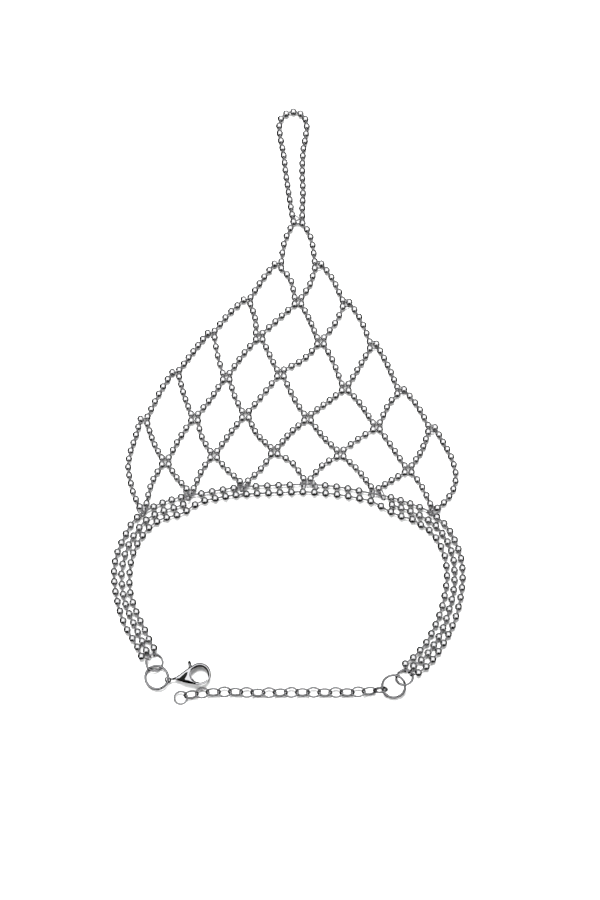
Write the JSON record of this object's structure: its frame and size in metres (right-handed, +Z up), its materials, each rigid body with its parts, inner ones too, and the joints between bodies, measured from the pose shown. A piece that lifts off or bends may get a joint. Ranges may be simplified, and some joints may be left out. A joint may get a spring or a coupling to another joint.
{
  "type": "hand chain bracelet",
  "caption": "Ball chain hand harness: a finger loop opens into a diamond net for the back of the hand, then a stranded wrist band with a lobster clasp and an extender chain.",
  "frame": {"origin": "middle of the bracelet's bounding box in plan, on the surface that it lies on", "axes": "+X runs across the hand, +Y from the wrist to the finger, +Z up from the surface"},
  "size_m": [0.0852, 0.1428, 0.0031],
  "materials": {
    "ball_chain": "polished silver-tone plating",
    "chain_wire": "polished silver-tone wire",
    "links": "polished silver-tone wire",
    "clasp": "polished cast metal, a little darker than the chain"
  },
  "bodies": {
    "bracelet": {"finger_loop_balls": "ball_chain", "band_upper_balls": "ball_chain", "band_lower_balls": "ball_chain", "band_left_balls": "ball_chain", "band_right_balls": "ball_chain", "finger_loop_wire": "chain_wire", "band_upper_wire": "chain_wire", "band_lower_wire": "chain_wire", "band_left_wire": "chain_wire", "band_right_wire": "chain_wire", "net_chain_01": "ball_chain", "net_chain_02": "ball_chain", "net_chain_03": "ball_chain", "net_chain_04": "ball_chain", "net_chain_05": "ball_chain", "net_chain_06": "ball_chain", "net_chain_07": "ball_chain", "net_chain_08": "ball_chain", "net_chain_09": "ball_chain", "net_chain_10": "ball_chain", "net_chain_11": "ball_chain", "net_chain_12": "ball_chain", "net_hangers": "chain_wire", "left_end_loops": "chain_wire", "right_end_loops": "chain_wire", "left_small_ring": "links", "left_large_ring": "links", "right_small_ring": "links", "right_large_ring": "links", "extender_link_01": "links", "extender_link_02": "links", "extender_link_03": "links", "extender_link_04": "links", "extender_link_05": "links", "extender_link_06": "links", "extender_link_07": "links", "extender_link_08": "links", "extender_link_09": "links", "extender_link_10": "links", "extender_link_11": "links", "extender_link_12": "links", "extender_link_13": "links", "extender_link_14": "links", "extender_link_15": "links", "extender_link_16": "links", "extender_link_17": "links", "extender_link_18": "links", "extender_end_ring": "links", "clasp_body": "clasp"},
    "lever": {"clasp_lever": "clasp"}
  },
  "joints": [
    {"name": "lever_hinge", "type": "hinge", "parent": "bracelet", "child": "lever", "pos_m": [-0.02408, -0.06482, 0.0012], "axis": [0, 0, 1], "range_deg": [0, 18], "stiffness_Nm_per_rad": 0.005, "springref_deg": -5.16}
  ]
}
